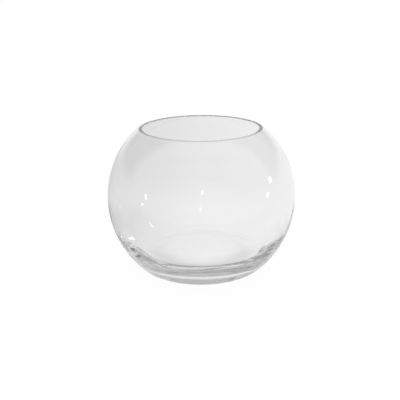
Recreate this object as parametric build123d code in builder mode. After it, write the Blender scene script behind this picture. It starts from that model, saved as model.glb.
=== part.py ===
# Clear blown-glass rose bowl: a ball cut flat below and open above, with a heavy bottom and a ground lip.
# The even wall, the bottom and the lip are one piece of glass, as it is blown.
# Frame: millimetres, +Z up, origin at the middle of the flat foot, on the surface it stands on.
import os
from math import acos, atan2, cos, degrees, radians, sin, sqrt

from build123d import *

# Driving dimensions
ball_diameter = 150.0  # outside, at the widest place
foot_cut = 19.7  # height of the cap that the flat foot takes off the ball
foot_edge_radius = 11.0  # soft outer edge between the wall and the foot
shoulder_radius = 63.0  # outside, above the belly, a little tighter than the ball
shoulder_start = 30.0  # degrees above the widest place, where the shoulder leaves the ball
mouth_diameter = 96.6  # outside of the wall, where the lip's face begins
wall_thickness = 1.7  # even, from the lip down to where the bottom swells
lip_fall = 7.0  # degrees by which the lip's ground face falls outward
lip_arris = 0.25  # rounding of the two edges of the lip's face
base_thickness = 9.0  # glass under the flat inside floor
flank_radius = 41.7  # inside, where the wall swells into the heavy bottom
flank_dip = 3.5  # how far the flank's arc, carried on, would pass below the floor
heel_radius = 6.0  # inside, between the flank and the flat floor

# Outside: one ball, with the edge of the foot rolled against it from within
ball_radius = ball_diameter / 2
ball_height = ball_radius - foot_cut
edge_reach = ball_radius - foot_edge_radius
foot_flat_radius = sqrt(edge_reach**2 - (ball_height - foot_edge_radius) ** 2)
foot_angle = degrees(atan2(foot_edge_radius - ball_height, foot_flat_radius))

# Shoulder: an arc that leaves the ball smoothly and draws in to the mouth
shoulder_offset = (ball_radius - shoulder_radius) * cos(radians(shoulder_start))
shoulder_height = ball_height + (ball_radius - shoulder_radius) * sin(radians(shoulder_start))
mouth_radius = mouth_diameter / 2
mouth_angle = acos((mouth_radius - shoulder_offset) / shoulder_radius)

# Inside: the ball and the shoulder again, one wall thickness further in
bore_radius = ball_radius - wall_thickness
throat_radius = shoulder_radius - wall_thickness

# Lip: a nearly level face ground across the wall, from the outer shoulder to the inner one
lip_slope = radians(lip_fall)
lip_reach = shoulder_radius * cos(mouth_angle + lip_slope)
lip_width = lip_reach - sqrt(lip_reach**2 - shoulder_radius**2 + throat_radius**2)
lip_inner_radius = mouth_radius - lip_width * cos(lip_slope)
lip_inner_height = shoulder_height + shoulder_radius * sin(mouth_angle) + lip_width * sin(lip_slope)
throat_angle = degrees(atan2(lip_inner_height - shoulder_height, lip_inner_radius - shoulder_offset))

# Inside flank: one arc that leaves the inner ball smoothly and thickens the glass downwards
flank_height = base_thickness - flank_dip + flank_radius
flank_offset = sqrt((bore_radius - flank_radius) ** 2 - (ball_height - flank_height) ** 2)
flank_angle = degrees(atan2(flank_height - ball_height, flank_offset))

# Inside heel: a small arc that runs from the flank into the flat floor
heel_reach = flank_radius - heel_radius
heel_height = base_thickness + heel_radius
floor_radius = flank_offset + sqrt(heel_reach**2 - (flank_height - heel_height) ** 2)
heel_angle = degrees(atan2(heel_height - flank_height, floor_radius - flank_offset))

straight_down = -90.0  # angle of a circle's lowest point, in degrees

# The bowl is half its section, carried once round the upright axis
with BuildPart() as glass_bowl:
    with BuildSketch(Plane.XZ) as half_section:
        with BuildLine():
            foot_edge = CenterArc(
                (foot_flat_radius, foot_edge_radius),
                foot_edge_radius,
                straight_down,
                foot_angle - straight_down,
            )
            CenterArc((0, ball_height), ball_radius, foot_angle, shoulder_start - foot_angle)
            shoulder = CenterArc(
                (shoulder_offset, shoulder_height),
                shoulder_radius,
                shoulder_start,
                degrees(mouth_angle) - shoulder_start,
            )
            Line(shoulder @ 1, (lip_inner_radius, lip_inner_height))
            CenterArc(
                (shoulder_offset, shoulder_height),
                throat_radius,
                throat_angle,
                shoulder_start - throat_angle,
            )
            CenterArc((0, ball_height), bore_radius, shoulder_start, flank_angle - shoulder_start)
            CenterArc((flank_offset, flank_height), flank_radius, flank_angle, heel_angle - flank_angle)
            heel = CenterArc((floor_radius, heel_height), heel_radius, heel_angle, straight_down - heel_angle)
            Polyline(heel @ 1, (0, base_thickness), (0, 0), foot_edge @ 0)
        make_face()
        lip_edges = half_section.vertices().sort_by(Axis.Y)[-2:]
        fillet(lip_edges, lip_arris)
    revolve(axis=Axis.Z)
glass_bowl.part.label = "glass_bowl"

os.makedirs("parts", exist_ok=True)
export_step(glass_bowl.part, "parts/glass_bowl.step")
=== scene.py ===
"""Looks of a clear blown-glass rose bowl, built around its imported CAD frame.

The bowl is one closed glass surface: half its section, worked out as arcs, is carried once round the
upright axis, with the faint unevenness of hand-blown glass. A white table, a soft room and a camera at
the photograph's angle complete the scene. Lengths are in metres unless a name says otherwise.
"""

import logging
import math
from dataclasses import dataclass, field
from enum import Enum
from typing import Union

import bpy
import numpy as np
from mathutils import Matrix, Vector
from numpy.typing import ArrayLike

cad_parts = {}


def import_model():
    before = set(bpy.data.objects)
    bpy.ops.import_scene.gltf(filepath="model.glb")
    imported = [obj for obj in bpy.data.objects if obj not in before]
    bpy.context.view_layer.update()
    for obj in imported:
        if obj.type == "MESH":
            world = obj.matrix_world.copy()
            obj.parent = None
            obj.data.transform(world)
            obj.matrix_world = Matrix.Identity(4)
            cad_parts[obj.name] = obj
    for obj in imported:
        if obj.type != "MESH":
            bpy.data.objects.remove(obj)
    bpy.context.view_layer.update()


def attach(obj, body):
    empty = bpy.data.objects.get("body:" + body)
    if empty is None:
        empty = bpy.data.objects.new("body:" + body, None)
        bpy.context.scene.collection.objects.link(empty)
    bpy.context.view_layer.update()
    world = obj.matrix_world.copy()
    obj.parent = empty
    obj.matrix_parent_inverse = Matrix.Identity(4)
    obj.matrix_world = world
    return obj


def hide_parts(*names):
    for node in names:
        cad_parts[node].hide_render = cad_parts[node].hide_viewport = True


LOG = logging.getLogger("rose_bowl")
MM = 0.001
QUARTER_TURN = math.pi / 2
DOWN = -QUARTER_TURN
LIGHT_BOUNCES = 1000  # so that light caught in the thick bottom still finds its way out

Socket = bpy.types.NodeSocket
Value = Union[Socket, float]


class Stretch(Enum):
    """The stretches of the bowl's section, in the order in which the section runs through them."""

    FOOT = "flat foot"
    EDGE = "rounded edge of the foot"
    BELLY = "outside of the belly"
    SHOULDER = "outside of the shoulder"
    OUTER_ARRIS = "outer edge of the lip"
    LIP = "ground face of the lip"
    INNER_ARRIS = "inner edge of the lip"
    THROAT = "inside of the shoulder"
    BORE = "inside of the belly"
    FLANK = "inside flank above the bottom"
    HEEL = "inside heel round the floor"
    FLOOR = "flat inside floor"


class Graph:
    """A node tree under construction, with short calls for the nodes used here."""

    def __init__(self, tree: bpy.types.NodeTree) -> None:
        """Empties the tree and keeps it.

        Args:
            tree: the node tree of a material or of the world.
        """
        self.tree = tree
        self.tree.nodes.clear()

    def node(self, kind: str, **settings: object) -> bpy.types.Node:
        """Adds a node.

        Args:
            kind: the node's type name.
            settings: properties of the node itself, set by name.

        Returns:
            The new node.
        """
        made = self.tree.nodes.new(kind)
        for name, value in settings.items():
            setattr(made, name, value)
        return made

    def feed(self, socket: Socket, value: Value) -> None:
        """Links an output to a socket, or sets the socket to a number.

        Args:
            socket: the input that takes the value.
            value: an output socket or a plain number.
        """
        if isinstance(value, bpy.types.NodeSocket):
            self.tree.links.new(value, socket)
        else:
            socket.default_value = value

    def math(self, operation: str, first: Value, second: Value, clamp: bool = False) -> Socket:
        """Combines two values with a math node.

        Args:
            operation: the math node's operation.
            first: the first operand.
            second: the second operand.
            clamp: keeps the result between 0 and 1.

        Returns:
            The result's output socket.
        """
        made = self.node("ShaderNodeMath", operation=operation, use_clamp=clamp)
        self.feed(made.inputs[0], first)
        self.feed(made.inputs[1], second)
        return made.outputs["Value"]

    def ease(self, value: Value, span: tuple[float, float], to: tuple[Value, Value]) -> Socket:
        """Maps a span of a value onto two ends, with a smooth step between them.

        Args:
            value: what is mapped.
            span: where the value starts and stops.
            to: the result at the start and at the stop.

        Returns:
            The result's output socket.
        """
        made = self.node("ShaderNodeMapRange", interpolation_type="SMOOTHSTEP")
        for name, number in zip(("Value", "From Min", "From Max", "To Min", "To Max"), (value, *span, *to)):
            self.feed(made.inputs[name], number)
        return made.outputs["Result"]

    def mix(self, factor: Value, first: Value, second: Value) -> Socket:
        """Blends two numbers.

        Args:
            factor: 0 gives the first and 1 the second.
            first: the number at 0.
            second: the number at 1.

        Returns:
            The blend's output socket.
        """
        made = self.node("ShaderNodeMix", data_type="FLOAT")
        for name, number in zip(("Factor", "A", "B"), (factor, first, second)):
            self.feed(made.inputs[name], number)
        return made.outputs["Result"]

    def noise(self, place: Socket, per_metre: float, detail: float) -> Socket:
        """Adds a cloudy pattern.

        Args:
            place: the coordinates it lies on.
            per_metre: how many of its blotches fit in a metre.
            detail: how many finer layers it has.

        Returns:
            The pattern's value, about 0.2 to 0.8.
        """
        made = self.node("ShaderNodeTexNoise")
        self.feed(made.inputs["Vector"], place)
        self.feed(made.inputs["Scale"], per_metre)
        self.feed(made.inputs["Detail"], detail)
        return made.outputs["Fac"]


@dataclass(frozen=True)
class ClearGlass:
    """Finish: clear soda-lime glass, faintly grey where it is thick, with a satin ground lip."""

    name: str = "blown_clear_glass"
    slot: str = "clear_glass"
    ground_mark: str = "ground"
    index: float = 1.51
    grey_per_metre: float = 2.3
    ground_roughness: float = 0.22
    ground_grey: float = 0.58
    smudge_roughness: float = 0.05
    smudges_per_metre: float = 28.0
    smudge_detail: float = 4.0
    smudge_span: tuple[float, float] = (0.5, 0.72)
    grains_per_metre: float = 2200.0
    grain_detail: float = 2.0
    grain_span: tuple[float, float] = (0.3, 0.7)
    grain_depth: float = 0.02 * MM
    grain_roughness: float = 0.06  # by which a grain is smoother or rougher than the rest

    def material(self) -> bpy.types.Material:
        """Builds the material: smooth glass with faint smudges, and a fine grain where the lip is ground.

        Returns:
            A glass that absorbs a little light along the way through it.
        """
        made = bpy.data.materials.new(self.name)
        made.use_nodes = True
        graph = Graph(made.node_tree)
        out = graph.node("ShaderNodeOutputMaterial")
        skin = graph.node("ShaderNodeBsdfPrincipled")
        skin.inputs["IOR"].default_value = self.index
        skin.inputs["Transmission Weight"].default_value = 1.0
        place = graph.node("ShaderNodeTexCoord").outputs["Object"]
        ground = graph.node("ShaderNodeAttribute", attribute_name=self.ground_mark).outputs["Fac"]
        tone = graph.node("ShaderNodeCombineColor")
        for name in ("Red", "Green", "Blue"):
            graph.feed(tone.inputs[name], graph.mix(ground, 1.0, self.ground_grey))
        graph.feed(skin.inputs["Base Color"], tone.outputs["Color"])
        cloud = graph.noise(place, self.smudges_per_metre, self.smudge_detail)
        smudge = graph.ease(cloud, self.smudge_span, (0.0, self.smudge_roughness))
        grain = graph.noise(place, self.grains_per_metre, self.grain_detail)
        satin = graph.ease(grain, self.grain_span, (self.ground_roughness - self.grain_roughness,
                                                    self.ground_roughness + self.grain_roughness))
        graph.feed(skin.inputs["Roughness"], graph.mix(ground, smudge, satin))
        bump = graph.node("ShaderNodeBump")
        graph.feed(bump.inputs["Distance"], self.grain_depth)
        graph.feed(bump.inputs["Height"], graph.math("MULTIPLY", grain, ground))
        graph.feed(skin.inputs["Normal"], bump.outputs["Normal"])
        graph.feed(out.inputs["Surface"], skin.outputs["BSDF"])
        body = graph.node("ShaderNodeVolumeAbsorption")
        body.inputs["Color"].default_value = (0.0, 0.0, 0.0, 1.0)
        body.inputs["Density"].default_value = self.grey_per_metre
        graph.feed(out.inputs["Volume"], body.outputs["Volume"])
        return made


def arc(centre: ArrayLike, radius: float, start: float, stop: float, count: int) -> np.ndarray:
    """Points of a circular arc in the section's plane: centre + radius (cos a, sin a), a evenly spaced.

    Args:
        centre: the arc's centre, as distance from the axis and height.
        radius: the arc's radius.
        start: the first angle, in radians from the outward direction.
        stop: the last angle.
        count: how many points.

    Returns:
        The points, one row each.
    """
    angle = np.linspace(start, stop, count)
    return np.asarray(centre) + radius * np.stack([np.cos(angle), np.sin(angle)], axis=1)


def heading(angle: float) -> np.ndarray:
    """The direction in the section's plane at an angle from outward: (cos a, sin a)."""
    return np.array([math.cos(angle), math.sin(angle)])


def rounded(corner: np.ndarray, before: float, after: float, radius: float, count: int) -> np.ndarray:
    """Points of the arc that rounds a left-turning corner between two straight runs.

    A run that turns by w is met at radius tan(w / 2) from the corner, on both sides.

    Args:
        corner: where the two runs would meet.
        before: the heading of the run that arrives.
        after: the heading of the run that leaves.
        radius: the arc's radius.
        count: how many points.

    Returns:
        The points, one row each.
    """
    room = radius * math.tan((after - before) / 2)
    start = corner - room * heading(before)
    centre = start + radius * heading(before + QUARTER_TURN)
    return arc(centre, radius, before - QUARTER_TURN, after - QUARTER_TURN, count)


@dataclass(frozen=True)
class Ripple:
    """Unevenness of hand-blown glass: a sum of a few waves round the bowl and up its height."""

    depth: float
    seed: int
    around: tuple[int, int] = (2, 9)  # crests in one turn: the fewest, and one more than the most
    upward: float = 180.0  # the closest crests up the height, in radians per metre
    waves: int = 9

    def lift(self, turn: np.ndarray, rise: np.ndarray) -> np.ndarray:
        """How far the surface stands off its true form: depth / sqrt(n) sum cos(m t + k z + p).

        Args:
            turn: angles round the axis, in radians.
            rise: heights of the section's points.

        Returns:
            The distances, one row for each height.
        """
        draw = np.random.default_rng(self.seed)
        around = draw.integers(*self.around, self.waves)
        upward = draw.uniform(-self.upward, self.upward, self.waves)
        phase = draw.uniform(0.0, 2 * np.pi, self.waves)
        waves = np.cos(around * turn[None, :, None] + upward * rise[:, None, None] + phase)
        return self.depth / math.sqrt(self.waves) * waves.sum(axis=-1)


def smooth(value: np.ndarray, start: float, stop: float) -> np.ndarray:
    """Eases from 0 at the start to 1 at the stop: u u (3 - 2 u)."""
    share = np.clip((value - start) / (stop - start), 0.0, 1.0)
    return share * share * (3.0 - 2.0 * share)


@dataclass
class RoseBowl:
    """The glass bowl: an even wall round a ball and its shoulder, a flat foot, a heavy bottom, a lip."""

    node: str = "glass_bowl"
    ball_radius: float = 75.0 * MM
    ball_height: float = 55.3 * MM
    foot_edge_radius: float = 11.0 * MM
    shoulder_radius: float = 63.0 * MM
    shoulder_from: float = math.radians(30.0)
    mouth_radius: float = 48.3 * MM
    wall: float = 1.7 * MM
    lip_fall: float = math.radians(7.0)
    lip_arris: float = 0.25 * MM
    base: float = 9.0 * MM
    flank_radius: float = 41.7 * MM
    flank_dip: float = 3.5 * MM
    heel_radius: float = 16.0 * MM  # softer than the solid's heel, which it leaves by 0.3 mm at most
    around: int = 300
    outer_ripple: Ripple = Ripple(depth=0.03 * MM, seed=4)
    inner_ripple: Ripple = Ripple(depth=0.06 * MM, seed=11)
    bottom_ripple: Ripple = Ripple(depth=0.13 * MM, seed=23, around=(1, 5), upward=800.0)
    foot_fade: tuple[float, float] = (3.0 * MM, 12.0 * MM)  # heights where the ripple starts and is full
    lip_fade: tuple[float, float] = (0.5 * MM, 9.0 * MM)  # the same, as depths below the lip
    middle_fade: tuple[float, float] = (4.0 * MM, 30.0 * MM)  # the same, as distances from the axis
    bottom_fade: tuple[float, float] = (40.0 * MM, 20.0 * MM)  # heights, for the bottom's own ripple
    counts: dict[Stretch, int] = field(default_factory=lambda: {
        Stretch.FOOT: 14, Stretch.EDGE: 22, Stretch.BELLY: 66, Stretch.SHOULDER: 16,
        Stretch.OUTER_ARRIS: 6, Stretch.LIP: 6, Stretch.INNER_ARRIS: 12, Stretch.THROAT: 16,
        Stretch.BORE: 58, Stretch.FLANK: 36, Stretch.HEEL: 16, Stretch.FLOOR: 18,
    })

    def section(self) -> dict[Stretch, np.ndarray]:
        """Half the bowl's section, from the middle of the foot up the outside and down the inside.

        The foot's edge is an arc rolled against the outer ball, and the shoulder's arc leaves the ball
        smoothly. The inside follows both at the wall's thickness, and the lip's face spans the wall. The
        flank's arc touches the inner ball, and the heel's arc touches the flank and the floor.

        Returns:
            Points as distance from the axis and height, one row each; neighbours share their end points.
        """
        count = self.counts
        ball, foot_edge = np.array([0.0, self.ball_height]), self.foot_edge_radius
        foot_radius = math.sqrt((self.ball_radius - foot_edge) ** 2 - (self.ball_height - foot_edge) ** 2)
        foot_angle = math.atan2(foot_edge - self.ball_height, foot_radius)
        shoulder = ball + (self.ball_radius - self.shoulder_radius) * heading(self.shoulder_from)
        mouth_angle = math.acos((self.mouth_radius - shoulder[0]) / self.shoulder_radius)
        across = math.pi - self.lip_fall
        outer = shoulder + self.shoulder_radius * heading(mouth_angle)
        bore_radius, throat_radius = self.ball_radius - self.wall, self.shoulder_radius - self.wall
        depth = self.shoulder_radius * math.cos(mouth_angle + self.lip_fall)
        width = depth - math.sqrt(depth**2 - self.shoulder_radius**2 + throat_radius**2)
        inner = outer + width * heading(across)
        throat_angle = math.atan2(*(inner - shoulder)[::-1])
        outer_arris = rounded(outer, mouth_angle + QUARTER_TURN, across, self.lip_arris,
                              count[Stretch.OUTER_ARRIS])
        inner_arris = rounded(inner, across, throat_angle + 3 * QUARTER_TURN, self.lip_arris,
                              count[Stretch.INNER_ARRIS])
        shoulder_top = math.atan2(*(outer_arris[0] - shoulder)[::-1])
        throat_top = math.atan2(*(inner_arris[-1] - shoulder)[::-1])
        rise = self.base - self.flank_dip + self.flank_radius
        flank = np.array([math.sqrt((bore_radius - self.flank_radius) ** 2 - (ball[1] - rise) ** 2), rise])
        flank_angle = math.atan2(rise - ball[1], flank[0])
        drop = rise - self.base - self.heel_radius
        floor_radius = flank[0] + math.sqrt((self.flank_radius - self.heel_radius) ** 2 - drop**2)
        heel = np.array([floor_radius, self.base + self.heel_radius])
        heel_angle = math.atan2(-drop, floor_radius - flank[0])
        return {
            Stretch.FOOT: np.linspace((0.0, 0.0), (foot_radius, 0.0), count[Stretch.FOOT]),
            Stretch.EDGE: arc((foot_radius, foot_edge), foot_edge, DOWN, foot_angle, count[Stretch.EDGE]),
            Stretch.BELLY: arc(ball, self.ball_radius, foot_angle, self.shoulder_from, count[Stretch.BELLY]),
            Stretch.SHOULDER: arc(shoulder, self.shoulder_radius, self.shoulder_from, shoulder_top,
                                  count[Stretch.SHOULDER]),
            Stretch.OUTER_ARRIS: outer_arris,
            Stretch.LIP: np.linspace(outer_arris[-1], inner_arris[0], count[Stretch.LIP]),
            Stretch.INNER_ARRIS: inner_arris,
            Stretch.THROAT: arc(shoulder, throat_radius, throat_top, self.shoulder_from,
                                count[Stretch.THROAT]),
            Stretch.BORE: arc(ball, bore_radius, self.shoulder_from, flank_angle, count[Stretch.BORE]),
            Stretch.FLANK: arc(flank, self.flank_radius, flank_angle, heel_angle, count[Stretch.FLANK]),
            Stretch.HEEL: arc(heel, self.heel_radius, heel_angle, DOWN, count[Stretch.HEEL]),
            Stretch.FLOOR: np.linspace((floor_radius, self.base), (0.0, self.base), count[Stretch.FLOOR]),
        }

    def rings(self) -> tuple[np.ndarray, np.ndarray, np.ndarray]:
        """Joins the stretches into one run.

        Returns:
            The run's points; whether each is inside the bowl; 1 where the lip is ground, and else 0.
        """
        stretches = self.section()
        points, inside, ground = [], [], []
        within = (Stretch.THROAT, Stretch.BORE, Stretch.FLANK, Stretch.HEEL, Stretch.FLOOR)
        satin = (Stretch.LIP, Stretch.INNER_ARRIS)
        for part in Stretch:
            run = stretches[part] if part is Stretch.FOOT else stretches[part][1:]
            points.append(run)
            inside.append(np.full(len(run), part in within))
            ground.append(np.full(len(run), float(part in satin)))
        ground[list(Stretch).index(Stretch.INNER_ARRIS)][-1] = 0.0  # clear again where the throat begins
        return np.vstack(points), np.concatenate(inside), np.concatenate(ground)

    def surface(self, run: np.ndarray, inside: np.ndarray) -> np.ndarray:
        """Carries the run once round the axis and adds the ripple along the run's outward normal.

        A point is ((r + n_r d) cos t, (r + n_r d) sin t, z + n_z d), where d is the ripple, which fades
        out at the foot, at the lip and in the middle of the floor. Inside, the thick bottom's own ripple
        is added.

        Args:
            run: the section's points.
            inside: whether each point is inside the bowl.

        Returns:
            The surface's points, as section by turn by coordinate.
        """
        turn = np.linspace(0.0, 2 * np.pi, self.around, endpoint=False)
        along = np.gradient(run, axis=0)
        normal = np.stack([along[:, 1], -along[:, 0]], axis=1)
        normal /= np.linalg.norm(normal, axis=1)[:, None]
        rise = run[:, 1]
        share = smooth(rise, *self.foot_fade) * smooth(rise.max() - rise, *self.lip_fade)
        share *= smooth(run[:, 0], *self.middle_fade)
        low = smooth(rise, *self.bottom_fade)
        outer, inner, bottom = (ripple.lift(turn, rise) for ripple in
                                (self.outer_ripple, self.inner_ripple, self.bottom_ripple))
        lift = np.where(inside[:, None], inner + low[:, None] * bottom, outer) * share[:, None]
        reach = run[:, :1] + normal[:, :1] * lift
        height = run[:, 1:] + normal[:, 1:] * lift
        return np.stack([reach * np.cos(turn), reach * np.sin(turn), height], axis=-1)

    def mesh(self, mark: str) -> bpy.types.Mesh:
        """Makes the bowl's closed mesh: quads between the rings, and a fan at the foot and at the floor.

        Args:
            mark: the name of the attribute that tells the ground face.

        Returns:
            A smooth mesh whose faces point out of the glass.
        """
        run, inside, ground = self.rings()
        grid = self.surface(run[1:-1], inside[1:-1])
        rings = len(grid)
        points = np.vstack([[0.0, 0.0, run[0, 1]], grid.reshape(-1, 3), [0.0, 0.0, run[-1, 1]]])
        marks = np.concatenate([ground[:1], np.repeat(ground[1:-1], self.around), ground[-1:]])
        here = np.arange(self.around)
        after = (here + 1) % self.around
        start = 1 + self.around * np.arange(rings - 1)[:, None]
        quads = np.stack([start + here, start + after, start + self.around + after,
                          start + self.around + here], axis=-1).reshape(-1, 4)
        last = len(points) - 1 - self.around
        foot = np.stack([np.zeros_like(here), 1 + after, 1 + here], axis=-1)
        floor = np.stack([np.full_like(here, len(points) - 1), last + here, last + after], axis=-1)
        made = bpy.data.meshes.new(self.node + "_surface")
        corner = np.concatenate([quads.ravel(), foot.ravel(), floor.ravel()])
        sides = np.concatenate([np.full(len(part), part.shape[1]) for part in (quads, foot, floor)])
        made.vertices.add(len(points))
        made.vertices.foreach_set("co", points.ravel())
        made.loops.add(len(corner))
        made.loops.foreach_set("vertex_index", corner)
        made.polygons.add(len(sides))
        made.polygons.foreach_set("loop_start", np.cumsum(sides) - sides)
        made.update(calc_edges=True)
        made.validate()
        made.attributes.new(mark, "FLOAT", "POINT").data.foreach_set("value", marks)
        made.shade_smooth()
        return made

    def build(self, glass: ClearGlass) -> bpy.types.Object:
        """Makes the bowl, dresses it and lets it stand for its CAD node.

        Args:
            glass: the finish of the whole bowl.

        Returns:
            The finished piece.
        """
        mesh = self.mesh(glass.ground_mark)
        mesh.materials.append(glass.material())
        piece = bpy.data.objects.new("rose_bowl_glass", mesh)
        bpy.context.scene.collection.objects.link(piece)
        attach(piece, "root")
        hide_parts(self.node)
        return piece


def through_glass(graph: Graph) -> Socket:
    """Marks what the glass shows, in a reflection or through it.

    Args:
        graph: the node tree that asks.

    Returns:
        A socket that is 1 for glossy and transmission rays, and 0 for the rest.
    """
    path = graph.node("ShaderNodeLightPath")
    return graph.math("ADD", path.outputs["Is Glossy Ray"], path.outputs["Is Transmission Ray"], clamp=True)


@dataclass(frozen=True)
class Horizon:
    """How light the glass shows the line where the table and the room meet: dimmer towards the left."""

    left: float = 0.62
    rest: float = 0.90
    turn: tuple[float, float] = (-0.90, -0.20)

    def level(self, graph: Graph, sideways: Socket) -> Socket:
        """The level in one direction.

        Args:
            graph: the node tree that asks.
            sideways: the direction's share along +X, from -1 to 1.

        Returns:
            The level's output socket.
        """
        return graph.ease(sideways, self.turn, (self.left, self.rest))


@dataclass(frozen=True)
class WhiteTable:
    """Stage: a plain table top, white as it is seen itself, and a pale grey sweep of painted light and shade
    as the glass shows it.
    """

    half_side: float = 4.0
    gap: float = 0.3 * MM  # below the foot
    albedo: float = 0.95
    white_share: float = 0.97  # for the camera; the rest is paint, which takes the shadow
    # painted light and shade: the sweep the glass shows is lighter close to the bowl and on the right
    near_levels: tuple[float, float] = (0.88, 0.965)  # left and right, close to the bowl
    near_reach: float = 0.09
    far_levels: tuple[float, float] = (0.68, 0.915)  # left and right, further out
    far_reach: float = 0.25
    sweep: tuple[float, float] = (-0.04, 0.28)  # distances over which near becomes far
    horizon: Horizon = Horizon()
    horizon_span: tuple[float, float] = (0.60, 2.2)  # distances over which far becomes the horizon
    # painted shadow: the level is dimmer close to the bowl's left
    painted_shadow: float = 0.78  # share of the level that is kept close to the bowl's left
    painted_shadow_middle: tuple[float, float] = (-145.0 * MM, 55.0 * MM)
    painted_shadow_span: tuple[float, float] = (30.0 * MM, 130.0 * MM)
    # painted light: a glow under the bowl
    painted_glow: float = 1.07  # gain under the bowl
    painted_glow_edge: tuple[float, float] = (28.0 * MM, 38.0 * MM)
    # painted shade under the front of the foot
    painted_shade: float = 0.82  # share of the level that is kept under the front of the foot
    painted_shade_rings: tuple[float, float, float] = (15.0 * MM, 36.0 * MM, 60.0 * MM)

    def build(self) -> bpy.types.Object:
        """Makes the table top just under the foot.

        Returns:
            The table.
        """
        side = np.array([[-1, -1], [1, -1], [1, 1], [-1, 1]]) * self.half_side
        points = np.column_stack([side, np.full(4, -self.gap)])
        mesh = bpy.data.meshes.new("white_table_top")
        mesh.from_pydata(points.tolist(), [], [(0, 1, 2, 3)])
        mesh.materials.append(self.material())
        table = bpy.data.objects.new("white_table", mesh)
        bpy.context.scene.collection.objects.link(table)
        return table

    def material(self) -> bpy.types.Material:
        """White paint whose shown level doesn't depend on the lamps, except for its share of shadow; the
        glass sees its painted light and shade.

        Returns:
            The table's material.
        """
        made = bpy.data.materials.new("white_table_paint")
        made.use_nodes = True
        graph = Graph(made.node_tree)
        out = graph.node("ShaderNodeOutputMaterial")
        paint = graph.node("ShaderNodeBsdfDiffuse")
        paint.inputs["Color"].default_value = (self.albedo, self.albedo, self.albedo, 1.0)
        path = graph.node("ShaderNodeLightPath")
        white = graph.node("ShaderNodeEmission")
        # glows with the painted light and shade for glass rays, and white for the camera
        graph.feed(white.inputs["Strength"], graph.mix(path.outputs["Is Camera Ray"], self.tone(graph), 1.0))
        share = graph.mix(path.outputs["Is Camera Ray"], through_glass(graph), self.white_share)
        blend = graph.node("ShaderNodeMixShader")
        graph.feed(blend.inputs["Fac"], share)
        graph.feed(blend.inputs[1], paint.outputs["BSDF"])
        graph.feed(blend.inputs[2], white.outputs["Emission"])
        graph.feed(out.inputs["Surface"], blend.outputs["Shader"])
        return made

    def tone(self, graph: Graph) -> Socket:
        """The table as the glass shows it, from the bowl's foot out to the horizon.

        Its level is painted light and shade: it is palest under the middle of the bowl, where a painted glow
        lifts it, dims with the distance and more so on the left, and meets the room's level at the horizon.
        A painted shade lies under the front of the foot, and a painted shadow close to the bowl's left.

        Args:
            graph: the node tree of the table's material.

        Returns:
            The level's output socket.
        """
        place = graph.node("ShaderNodeTexCoord").outputs["Object"]
        axes = graph.node("ShaderNodeSeparateXYZ")
        graph.feed(axes.inputs["Vector"], place)
        across, deep = axes.outputs["X"], axes.outputs["Y"]
        reach = self.distance(graph, place, (0.0, 0.0))
        near = graph.ease(across, (-self.near_reach, self.near_reach), self.near_levels)
        far = graph.ease(across, (-self.far_reach, self.far_reach), self.far_levels)
        swept = graph.ease(reach, self.sweep, (near, far))
        horizon = self.horizon.level(graph, graph.math("DIVIDE", across, reach))
        level = graph.ease(reach, self.horizon_span, (swept, horizon))
        # painted shade: a ring under the front half of the foot
        inner, middle, outer = self.painted_shade_rings
        painted_shade_ring = graph.mix(graph.ease(reach, (middle, outer), (0.0, 1.0)),
                         graph.ease(reach, (inner, middle), (1.0, self.painted_shade)), 1.0)
        # painted shadow left of the bowl, measured from its middle
        painted_shadow = self.distance(graph, place, self.painted_shadow_middle)
        # the painted glow under the bowl, the painted shade under the front of the foot and the painted
        # shadow left of the bowl scale the level
        for factor in (graph.ease(reach, self.painted_glow_edge, (self.painted_glow, 1.0)),
                       graph.ease(deep, (-middle / 2, middle / 2), (painted_shade_ring, 1.0)),
                       graph.ease(painted_shadow, self.painted_shadow_span, (self.painted_shadow, 1.0))):
            level = graph.math("MULTIPLY", level, factor)
        return level

    def distance(self, graph: Graph, place: Socket, middle: tuple[float, float]) -> Socket:
        """How far a place on the table is from a spot.

        Args:
            graph: the node tree of the table's material.
            place: the table's own coordinates.
            middle: the spot.

        Returns:
            The distance's output socket.
        """
        made = graph.node("ShaderNodeVectorMath", operation="DISTANCE")
        graph.feed(made.inputs[0], place)
        made.inputs[1].default_value = (*middle, -self.gap)
        return made.outputs["Value"]


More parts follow.
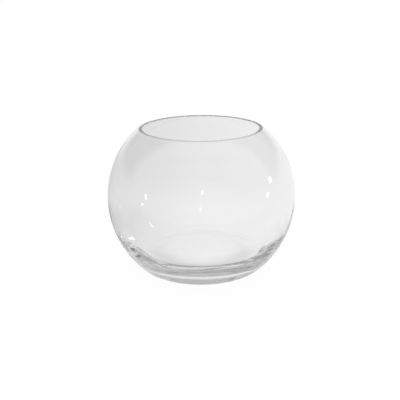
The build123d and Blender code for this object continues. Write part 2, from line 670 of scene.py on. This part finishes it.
@dataclass(frozen=True)
class SoftRoom:
    """The room round the table: light all round, with a dim band above the horizon behind the table."""

    plain_level: float = 1.0  # as the room lights plain surfaces
    horizon: Horizon = Horizon()
    dim_sides: tuple[float, float] = (0.08, 0.33)  # the band's levels at the left and at the right
    dim_side_turn: tuple[float, float] = (-0.6, 0.6)
    dim_behind: float = 0.45  # the band's level straight behind the bowl
    dim_behind_turn: tuple[float, float] = (0.3, 0.8)
    band_bottom: tuple[float, float] = (0.05, 0.28)
    band_top: tuple[float, float] = (0.85, 0.98)
    band_ends: tuple[float, float] = (0.0, 0.3)

    def build(self) -> None:
        """Makes the world: white where it is seen directly, the room where the glass shows it."""
        world = bpy.data.worlds.new("soft_room")
        bpy.context.scene.world = world
        world.use_nodes = True
        graph = Graph(world.node_tree)
        out = graph.node("ShaderNodeOutputWorld")
        sky = graph.node("ShaderNodeBackground")
        sky.inputs["Color"].default_value = (1.0, 1.0, 1.0, 1.0)
        axes = graph.node("ShaderNodeSeparateXYZ")
        graph.feed(axes.inputs["Vector"], graph.node("ShaderNodeTexCoord").outputs["Generated"])
        across, deep, high = axes.outputs["X"], axes.outputs["Y"], axes.outputs["Z"]
        side = graph.ease(across, self.dim_side_turn, self.dim_sides)
        dim = graph.ease(deep, self.dim_behind_turn, (side, self.dim_behind))
        band = graph.math("MULTIPLY", graph.ease(high, self.band_bottom, (0.0, 1.0)),
                          graph.ease(high, self.band_top, (1.0, 0.0)))
        band = graph.math("MULTIPLY", band, graph.ease(deep, self.band_ends, (0.0, 1.0)))
        room = graph.mix(band, self.horizon.level(graph, across), dim)
        light = graph.mix(through_glass(graph), self.plain_level, room)
        path = graph.node("ShaderNodeLightPath")
        graph.feed(sky.inputs["Strength"], graph.mix(path.outputs["Is Camera Ray"], light, 1.0))
        graph.feed(out.inputs["Surface"], sky.outputs["Background"])


@dataclass(frozen=True)
class RoomLamp:
    """A small round lamp in the room, which only shows as a glint in the glass."""

    name: str
    azimuth_deg: float
    elevation_deg: float
    diameter: float
    distance: float = 1.2
    brightness: float = 6.5

    def build(self, target: Vector) -> bpy.types.Object:
        """Hangs the lamp facing the bowl.

        Args:
            target: the middle of the bowl.

        Returns:
            The lamp.
        """
        area = math.pi * (self.diameter / 2) ** 2
        light = bpy.data.lights.new(self.name, "AREA")
        light.shape = "DISK"
        light.size = self.diameter
        light.energy = self.brightness * math.pi * area  # a flat lamp's power at that brightness
        lamp = bpy.data.objects.new(self.name, light)
        turn, lift = math.radians(self.azimuth_deg), math.radians(self.elevation_deg)
        towards = Vector((math.sin(turn) * math.cos(lift), -math.cos(turn) * math.cos(lift), math.sin(lift)))
        lamp.location = target + towards * self.distance
        lamp.rotation_euler = towards.to_track_quat("Z", "Y").to_euler()
        lamp.visible_camera = lamp.visible_diffuse = False
        bpy.context.scene.collection.objects.link(lamp)
        return lamp


@dataclass(frozen=True)
class PhotoCamera:
    """The camera at the photograph's viewing angle, framed in its 400 by 400 pixels."""

    elevation_deg: float = 19.11
    distance: float = 0.478
    focal_px: float = 589.3
    roll_deg: float = 0.53
    frame_px: float = 400.0
    aim_px: tuple[float, float] = (201.29, 195.57)
    sensor_mm: float = 36.0
    nearest: float = 0.01

    def build(self, target: Vector) -> bpy.types.Object:
        """Places the camera so that the target falls on its pixel of the frame.

        Args:
            target: the middle of the bowl's ball.

        Returns:
            The camera, set as the scene's own.
        """
        lens = bpy.data.cameras.new("photo_camera")
        lens.sensor_width = self.sensor_mm
        lens.lens = self.focal_px / self.frame_px * self.sensor_mm
        lens.clip_start = self.nearest
        camera = bpy.data.objects.new("photo_camera", lens)
        lift = math.radians(self.elevation_deg)
        back = Vector((0.0, -math.cos(lift), math.sin(lift)))
        up = Vector((0.0, math.sin(lift), math.cos(lift)))
        pixel = self.distance / self.focal_px
        middle = self.frame_px / 2
        right, down = (pixel * (place - middle) for place in self.aim_px)
        aim = target - Vector((right, 0.0, 0.0)) + up * down
        camera.location = target + back * self.distance
        look = (aim - camera.location).to_track_quat("-Z", "Y").to_matrix().to_4x4()
        camera.rotation_euler = (look @ Matrix.Rotation(math.radians(-self.roll_deg), 4, "Z")).to_euler()
        bpy.context.scene.collection.objects.link(camera)
        bpy.context.scene.camera = camera
        return camera


LAMPS = (
    RoomLamp("right_lamp", azimuth_deg=94.0, elevation_deg=12.0, diameter=0.10),
    RoomLamp("low_right_lamp", azimuth_deg=83.0, elevation_deg=3.0, diameter=0.09),
    RoomLamp("near_lamp", azimuth_deg=1.0, elevation_deg=23.0, diameter=0.07, brightness=4.5),
)


def main() -> None:
    """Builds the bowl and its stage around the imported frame, and reports each piece."""
    logging.basicConfig(level=logging.INFO, format="%(name)s: %(message)s")
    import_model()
    bowl = RoseBowl()
    piece = bowl.build(ClearGlass())
    LOG.info("%s: %d faces", piece.name, len(piece.data.polygons))
    table = WhiteTable().build()
    LOG.info("%s: stage", table.name)
    SoftRoom().build()
    target = Vector((0.0, 0.0, bowl.ball_height))
    for lamp in LAMPS:
        LOG.info("%s: lamp", lamp.build(target).name)
    LOG.info("%s: camera", PhotoCamera().build(target).name)
    scene = bpy.context.scene
    scene.view_settings.view_transform = "Standard"
    paths = scene.cycles
    paths.max_bounces = paths.transmission_bounces = paths.glossy_bounces = LIGHT_BOUNCES


if __name__ == "__main__":
    main()
